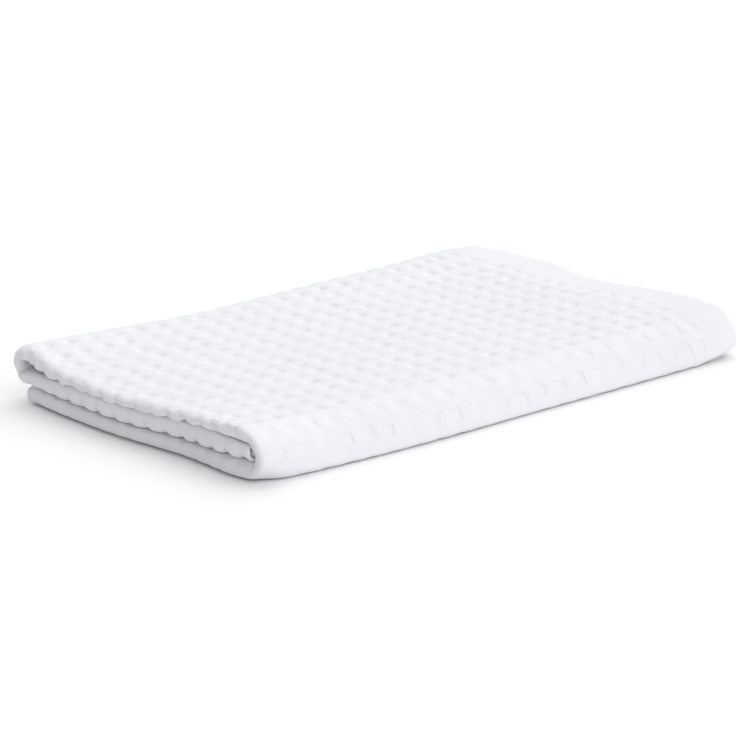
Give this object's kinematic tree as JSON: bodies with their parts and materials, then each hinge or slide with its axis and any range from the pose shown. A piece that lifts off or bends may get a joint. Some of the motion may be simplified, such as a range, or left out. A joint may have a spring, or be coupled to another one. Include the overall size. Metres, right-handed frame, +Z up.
{
  "type": "folded bath towel",
  "caption": "White waffle-woven cotton bath towel folded into a flat soft pile, with one large rounded fold along a long side and plain woven borders at the hem end.",
  "frame": {"origin": "on the surface that the folded towel lies on, under the middle of its outline", "axes": "+X along the folded length, from the doubled fold to the hems; -Y towards the one large fold that wraps the whole height; +Z up"},
  "size_m": [0.3572, 0.2456, 0.033],
  "materials": {
    "cotton": "bright white cotton in a deep waffle weave, matt, with plain woven borders along the short hems"
  },
  "bodies": {
    "root": {"towel": "cotton"}
  },
  "joints": []
}
